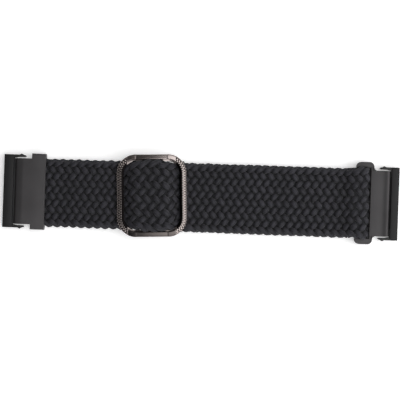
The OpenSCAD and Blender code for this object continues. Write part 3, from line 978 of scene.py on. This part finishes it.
# Painted shade: the knurl's grooves and pits are coloured black, besides the shade that their depth casts.
groove_here = spread(bump_height, groove_from, groove_full, to_high=groove_black)
pit_here = spread(maths("MAXIMUM", *slants), pit_from, pit_full)
sunk = (1.0 - maths("POWER", bump_height, bump_power)) * knurl_here * given["Depth"]
offset = vectors("SCALE", geo(tree, "InputNormal"),
                 Scale=(flat_here * given["Flat Depth"] + sunk) * -1.0)

# %% What the ring's finish reads, and the end of the tree
# Painted shade: the ledge beside the knurl and the left bar's inner rim are coloured black, and the plain
# end bars are darkened by an amount that changes from bar to bar and from left to right, less on the lip.
rim_from, rim_full, rim_black = -7, -9, 0.75
painted_dim_left, painted_dim_right = -3, 4
far_painted_dims, near_painted_dims = (1.03, 0.55), (1.19, 1.09)
lip_less_painted_dim = 0.45
painted_left_rim_shade = stored(tree, "rim") * spread(ring_place["X"], rim_from * MM, rim_full * MM, to_high=rim_black)
painted_black_inside = maths("MAXIMUM", ledge_here, painted_left_rim_shade) * knurl_zone
painted_black_here = maths("MAXIMUM", maths("MAXIMUM", groove_here, pit_here) * knurl_here, painted_black_inside)
far_painted_dim, near_painted_dim = (spread(ring_place["X"], painted_dim_left * MM, painted_dim_right * MM, *coats)
                       for coats in (far_painted_dims, near_painted_dims))
at_far_bar = maths("GREATER_THAN", ring_place["Y"], 0.0)
painted_dim_here = at_far_bar * (far_painted_dim - near_painted_dim) + near_painted_dim
ring_dressed = ring_mesh
for name, value in {
    "hollow": painted_black_here,
    "dim": plain_zone * (painted_dim_here * (stored(tree, "lip") * -lip_less_painted_dim + 1.0)),
    "polish": maths("MAXIMUM", flat_here, ledge_here * plain_zone),
}.items():
    ring_dressed = store(ring_dressed, name, value)
knurled = geo(tree, "SetPosition", {"Geometry": ring_dressed, "Offset": offset})
ring_lift = vector(tree, X=slider_x * MM, Z=given["Height"])
end_tree(geo(tree, "Transform", {"Geometry": knurled, "Translation": ring_lift}))
print("the ring's tree has", len(tree.nodes), "nodes")

# %% The ring
ring_shorter = 0.2
ring_length = 2 * ring_half_l - ring_bar - ring_shorter
ring_width = 2 * ring_half_w - ring_bar
ring_round = 2 * (ring_length + ring_width) - (8 - 2 * math.pi) * ring_corner_r
bump_pitch = 0.742
bumps_round = round(ring_round / bump_pitch)
points_per_bump = 10
ring = grow("slider_ring", tree, {
    "Section": section_object, "Points": bumps_round * points_per_bump, "Material": ring_finish,
    **{name: size * MM for name, size in {
        "Length": ring_length, "Width": ring_width, "Corner Radius": ring_corner_r,
        "Height": ring_high[2] - h, "Pitch Along": ring_round / bumps_round, "Pitch Round": 1.3,
        "Depth": 0.12, "Flat Half": 4.75, "Flat Depth": 0.025, "Knurl Start": 6.9}.items()},
})
bpy.data.objects.remove(section_object)
ring_spread = np.array([v.co for v in ring.data.vertices]) / MM
print("the ring reaches", ring_spread.min(axis=0).round(2), ring_spread.max(axis=0).round(2))

# %% [markdown]
# ## Lugs under the ring
# A lug below each end bar of the ring holds the pin. Its outline is drawn once from the side and
# given its thickness across the strap. A Bevel modifier rounds its edges, as it does on the other
# metal pieces, and is applied at once so that the piece is a plain mesh.

# %% Soft edges
edge_from = 30
crease_from = 35


def soften(piece, round_mm, segments=3):
    """Rounds a piece's edges and smooths its curved faces."""
    bevel = piece.modifiers.new("soft_edges", "BEVEL")
    bevel.width = round_mm * MM
    bevel.segments = segments
    bevel.limit_method = "ANGLE"
    bevel.angle_limit = math.radians(edge_from)
    piece.data = bake(piece, bevel)
    piece.data.name = piece.name
    for polygon in piece.data.polygons:
        polygon.use_smooth = True
    piece.data.set_sharp_from_angle(angle=math.radians(crease_from))
    print(piece.name, "has", len(piece.data.polygons), "faces")
    return piece


# %% Plates drawn as an outline
def slab(whole, outline, low, high, from_above=False):
    """Adds a plate to a bmesh: an outline seen from the side between two places across the strap, or
    one seen from above between two heights."""
    rings = []
    for end in (low, high):
        corners = [(x, other, end) if from_above else (x, end, other) for x, other in outline]
        rings.append([whole.verts.new([v * MM for v in corner]) for corner in corners])
    n = len(outline)
    for i in range(n):
        whole.faces.new((rings[0][i], rings[0][(i + 1) % n], rings[1][(i + 1) % n], rings[1][i]))
    whole.faces.new(rings[0][::-1])
    whole.faces.new(rings[1])


# %% The two lugs
lug_half_l = 2.2
lug_top = ring_high[2] - 1
lug_radii = [0.05, 0.95, 0.95, 0.05]
lug_out = ring_half_w - 0.08
lug_in = ring_half_w - ring_bar + 0.05
lug_side = rounded_outline([(-lug_half_l, lug_top), (-lug_half_l, ring_low[2]),
                            (lug_half_l, ring_low[2]), (lug_half_l, lug_top)], lug_radii, 0.3)
whole = bmesh.new()
for side in (-1, 1):
    slab(whole, lug_side + [slider_x, 0], *sorted((side * lug_out, side * lug_in)))
bmesh.ops.recalc_face_normals(whole, faces=whole.faces)
lugs = from_bmesh("slider_lugs", whole, ring_finish)
# Painted shade: the lugs are darkened all over, as the ring's plain end bars are.
mark(lugs.data, {"dim": np.ones(len(lugs.data.vertices))})
soften(lugs, 0.2)

# %% [markdown]
# ## A loose fit
# The ring is loose on the strap, so it lies turned a little, and the bow inside it with it.

# %% The slider lies askew
slider_askew = math.radians(2.6)
middle = Matrix.Translation((slider_x * MM, 0, 0))
askew = middle @ Matrix.Rotation(slider_askew, 4, "Z") @ middle.inverted()
for piece in (ring, lugs, bow):
    piece.data.transform(askew)
print("the slider is turned by", round(math.degrees(slider_askew), 1), "degrees")

# %% [markdown]
# ## Metal pieces with soft edges
# A machined or cast part never has perfectly sharp edges, and it is the thin highlight along them
# that makes it read as metal. The measured pieces already have the right sizes, so a copy of each is
# taken. Its doubled points are merged and its flat faces joined, and then a small bevel rounds its
# edges.


# %% Copies with rounded edges
def soft_edged(name, node, material, round_mm, segments=3, extra=None):
    """A copy of a measured piece with its edges rounded, and with the extra form that it is given."""
    whole = bmesh.new()
    whole.from_mesh(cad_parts[node].data)
    bmesh.ops.remove_doubles(whole, verts=whole.verts, dist=0.002 * MM)
    bmesh.ops.dissolve_limit(whole, angle_limit=math.radians(1), verts=whole.verts, edges=whole.edges)
    if extra:
        extra(whole)
        bmesh.ops.recalc_face_normals(whole, faces=whole.faces)
    return soften(from_bmesh(name, whole, material), round_mm, segments)


# %% [markdown]
# ## Forms that the measured pieces leave out
# The measured model keeps to plain forms, and the real pieces have more. The plates slope down
# to the groove beside the clip bar, and the latch arms taper to a point, so points of the copy are
# moved. The shoulders beside the bar's tongue and the fillets of the loop's ears are small plates,
# added before the edges are rounded so that they get the same soft edges.


# %% The plates' slopes
def wider_roll(groove_x, inwards):
    """Spreads a plate's roll towards its groove into a straight slope with a soft shoulder and a
    round nose."""
    roll_l, roll_drop = 1.6, 1.1
    wide_l, straight_l = 2.7, 1.6
    nose_l, nose_drop = 0.55, 0.6
    soft_l = wide_l - straight_l
    slope = roll_drop / (straight_l + soft_l / 2)

    def spread_roll(whole):
        for vert in whole.verts:
            s = (vert.co.x / MM - groove_x) * inwards
            if s < roll_l + 0.01 and vert.co.z / MM > plate_high[2] - roll_drop - 0.01:
                s *= wide_l / roll_l
                past = (wide_l - s) ** 2 / (2 * soft_l)
                drop = slope * (past if s > straight_l else straight_l - s + soft_l / 2)
                drop += nose_drop * max(0, 1 - s / nose_l) ** 2
                vert.co.x = (groove_x + s * inwards) * MM
                vert.co.z = (plate_high[2] - drop) * MM

    return spread_roll


# %% The clip bars' shoulders
plate_half_w = 9.75
shoulder_in = 7.6
shoulder_l, shoulder_lap = 0.46, 0.1
bar_bottom, bar_top = 0.5, 2.1


def shoulders(groove_start, groove_stop):
    """The clip bar's shoulders, which fill its groove beside the tongue."""
    def add(whole):
        for side in (-1, 1):
            a, b = side * shoulder_in, side * plate_half_w
            outline = [(groove_start, a), (groove_stop, a), (groove_stop, b), (groove_start, b)]
            slab(whole, outline, bar_bottom, bar_top, from_above=True)

    return add


# %% The ears of the loop
def ear_fillets(whole):
    """Hollow fillets and thin webs between the loop's ears and the plate, and a ledge below them."""
    ear_l, ear_half_t = 5.2, 0.88
    fillet_r, sunk_in = 0.95, 0.1
    ear_end = loop_low[0] + ear_l
    low, high = low_z + fold_r - ear_half_t, low_z + fold_r + ear_half_t
    web_t, ledge_half_w = 0.58, 10.3
    turn = np.radians(np.linspace(270, 180, 8))
    start_x, start_y = ear_end - sunk_in, plate_half_w - sunk_in
    for side in (-1, 1):
        outline = [(start_x, start_y), (ear_end + fillet_r, start_y)]
        outline += [(ear_end + fillet_r * (1 + math.cos(a)), plate_half_w + fillet_r * (1 + math.sin(a)))
                    for a in turn]
        outline.append((start_x, plate_half_w + fillet_r))
        slab(whole, [(x, side * y) for x, y in outline], low, high, from_above=True)
        web = [(3.2, 10.7), (4.4, 9.7), (4.4, 10.7)]
        slab(whole, [(loop_low[0] + x, side * y) for x, y in web], low, low + web_t, from_above=True)
    ledge = [(3.62, 0.08), (4.6, 0.08), (4.6, 0.55), (3.62, 0.5)]
    slab(whole, [(loop_low[0] + x, z) for x, z in ledge], -ledge_half_w, ledge_half_w)
    wider_roll(loop_high[0], -1)(whole)


# %% The latch arms
def blade(bar_face, to_root):
    """Tapers an arm to a pointed tip and thickens it on its inner side where it leaves the bar."""
    arm_l, arm_y, tip_l, tip_share = 3.5, 10.475, 0.77, 0.55
    blade_low, blade_high = 0.46, 2.14

    def sharpen(whole):
        side = 1 if sum(vert.co.y for vert in whole.verts) > 0 else -1
        for vert in whole.verts:
            from_tip = (vert.co.x / MM - bar_face) * to_root + arm_l
            if from_tip < tip_l:
                thin = tip_share + (1 - tip_share) * max(from_tip, 0) / tip_l
                vert.co.y = (arm_y * side + (vert.co.y / MM - arm_y * side) * thin) * MM
        wedge = [(-1.3, 10.13), (-0.45, 9.93), (0.3, 9.91), (0.3, 10.2)]
        outline = [(bar_face + x * to_root, side * y) for x, y in wedge]
        slab(whole, outline, blade_low, blade_high, from_above=True)

    return sharpen


# %% All the copies
left_bar_l, right_bar_l = 2.8, 2.2
left_bar_face = box_mm("left_clip_bar")[0][0] + left_bar_l
right_bar_face = box_mm("right_clip_bar")[1][0] - right_bar_l
left_plate = soft_edged("left_plate_cover", "left_end_plate", satin_finish, 0.12,
                        extra=wider_roll(plate_low[0], 1))
left_back = soft_edged("left_plate_back", "left_end_backplate", dark_finish, 0.08, 2)
left_bar = soft_edged("left_snap_bar", "left_clip_bar", dark_finish, 0.1, 2,
                      extra=shoulders(left_bar_face - shoulder_lap, left_bar_face + shoulder_l))
right_bar = soft_edged("right_snap_bar", "right_clip_bar", dark_finish, 0.1, 2,
                       extra=shoulders(right_bar_face - shoulder_l, right_bar_face + shoulder_lap))
right_plate = soft_edged("right_plate_and_loop", "right_loop_plate", satin_finish, 0.2,
                         extra=ear_fillets)
arms = {
    node: soft_edged(node + "_leaf", node, spring_finish, 0.08, 2, extra=blade(bar_face, to_root))
    for end, bar_face, to_root in (("left", left_bar_face, -1), ("right", right_bar_face, 1))
    for node in (end + "_latch_arm_upper", end + "_latch_arm_lower")
}

# %% [markdown]
# ## Joining the looks to the moving model
# Each new piece now says which body it moves with, which measured pieces it stands for and what its look
# is called. The upper stretch spans two bodies and is attached to none.

# %% What each piece moves with
under_z * MM
under_z * MM
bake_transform(upper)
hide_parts("strap_left_hem", "strap_left_run", "strap_top_run")
for piece, body, node, slot in (
    (fold, "right_end", "strap_end_fold", "braid"),
    (back, "right_end", "strap_return_run", "braid"),
    (bow, "slider", "strap_slider_bow", "braid"),
    (sewn, "slider", "strap_sewn_loop", "braid"),
    (spare, "slider", None, "braid"),
    (tip, "slider", "strap_tail_tip", "thread"),
    (stitches, "slider", "loop_stitches", "thread"),
    (ring, "slider", "slider_frame", "gunmetal"),
    (lugs, "slider", None, "gunmetal"),
    (left_plate, "left_end", "left_end_plate", "satin_plate"),
    (left_back, "left_end", "left_end_backplate", "dark_plate"),
    (left_bar, "left_end", "left_clip_bar", "dark_plate"),
    (right_bar, "right_end", "right_clip_bar", "dark_plate"),
    (right_plate, "right_end", "right_loop_plate", "satin_plate"),
    *((arm, node.replace("latch_", ""), node, "spring_steel") for node, arm in arms.items()),
):
    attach(piece, body)
    if node:
        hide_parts(node)
low_z * MM
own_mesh(back)
low_z * MM
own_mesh(spare)

# %% [markdown]
# ## Rivets and pin
# The rivets and the pin are small and mostly hidden, so the measured pieces stay and only get a
# finish.

# %% Measured pieces that keep their shape
for node in ("left_end_rivets", "left_clip_rivets", "right_clip_rivets", "slider_centre_pin"):
    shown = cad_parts[node].data
    shown.materials.clear()
    shown.materials.append(rivet_finish)

# %% [markdown]
# ## Floor, light and camera
# The strap lies on a white floor under soft studio light. The floor glows only for the camera and
# in reflections, so the background is white while the strap keeps its own tones.

# %% Floor
floor_half = 30.0
floor_mesh = bpy.data.meshes.new("floor")
floor_corners = ((-1, -1), (1, -1), (1, 1), (-1, 1))
floor_mesh.from_pydata([(x * floor_half, y * floor_half, 0) for x, y in floor_corners], [], [range(4)])
floor = add_object("floor", floor_mesh)
floor_finish, floor_tree, floor_shader = new_finish("white_floor")
floor_shader.inputs["Base Color"].default_value = (0.95, 0.95, 0.95, 1)
floor_shader.inputs["Roughness"].default_value = 0.9
floor_shader.inputs["Emission Color"].default_value = (1, 1, 1, 1)
ray = shade(floor_tree, "LightPath")
seen = maths("MAXIMUM", ray["Is Camera Ray"],
             maths("MAXIMUM", ray["Is Glossy Ray"], ray["Is Transmission Ray"]))
far_off = vectors("LENGTH", shade(floor_tree, "TexCoord")["Object"])["Value"]
glow_from, glow_full, least_glow = 0.2, 0.9, 0.35
glow = seen * spread(far_off, glow_from, glow_full, least_glow)
glow.feed(floor_shader, "Emission Strength")
floor_mesh.materials.append(floor_finish)

# %% World, darker overhead than at the horizon
world = bpy.data.worlds.new("studio")
bpy.context.scene.world = world
world.use_nodes = True
background = world.node_tree.nodes["Background"]
direction = parts(shade(world.node_tree, "TexCoord")["Generated"])
overhead = maths("MAXIMUM", direction["Z"], 0.0)
to_left = maths("MAXIMUM", direction["X"] * -1.0, 0.0)
overhead_light, fall_power, left_dimmer = 0.14, 2.2, 0.6
from_horizon = maths("POWER", 1.0 - overhead, fall_power) * (1 - overhead_light) + overhead_light
studio_light = from_horizon * (to_left * -left_dimmer + 1.0)
studio_light.feed(background, "Strength")
background.inputs["Color"].default_value = (1, 1, 1, 1)


# %% Soft lamps
def soft_lamp(name, place, size, brightness, aim):
    """A rectangular soft lamp, as bright to look at as it is told."""
    data = bpy.data.lights.new(name, "AREA")
    data.shape = "RECTANGLE"
    data.size, data.size_y = size
    data.energy = brightness * math.pi * size[0] * size[1]
    lamp = add_object(name, data)
    lamp.location = place
    lamp.rotation_euler = Vector(aim).to_track_quat("-Z", "Y").to_euler()
    lamp.visible_camera = False
    return lamp


soft_lamp("lamp_overhead_right", (0.31, 0.0, 0.6), (0.7, 0.9), 1.7, (0, 0, -1))
side_lamp = soft_lamp("lamp_right", (0.62, -0.05, 0.42), (0.5, 0.5), 2.6, (-0.62, 0.05, -0.42))
side_lamp.visible_glossy = False
soft_lamp("lamp_front", (0.12, -0.6, 0.32), (0.5, 0.3), 1.6, (-0.12, 0.6, -0.32))

# %% Camera
photo_px_per_mm = 3.3755
strap_angle = math.radians(2.0)
lens_mm = 100
sensor_mm = 36
picture_px = 400
camera_x, camera_y = -0.25, -0.8
strap_middle_z = 3
camera_height = picture_px * (lens_mm / sensor_mm) / photo_px_per_mm + strap_middle_z
camera_data = bpy.data.cameras.new("camera")
camera_data.lens = lens_mm
camera_data.sensor_width = sensor_mm
camera_data.clip_start = 0.01
camera = add_object("camera", camera_data)
camera.location = (camera_x * MM, camera_y * MM, camera_height * MM)
camera.rotation_euler = (0, 0, strap_angle)
bpy.context.scene.camera = camera
bpy.context.scene.view_settings.view_transform = "Standard"
print("the camera is", round(camera_height), "mm above the floor")
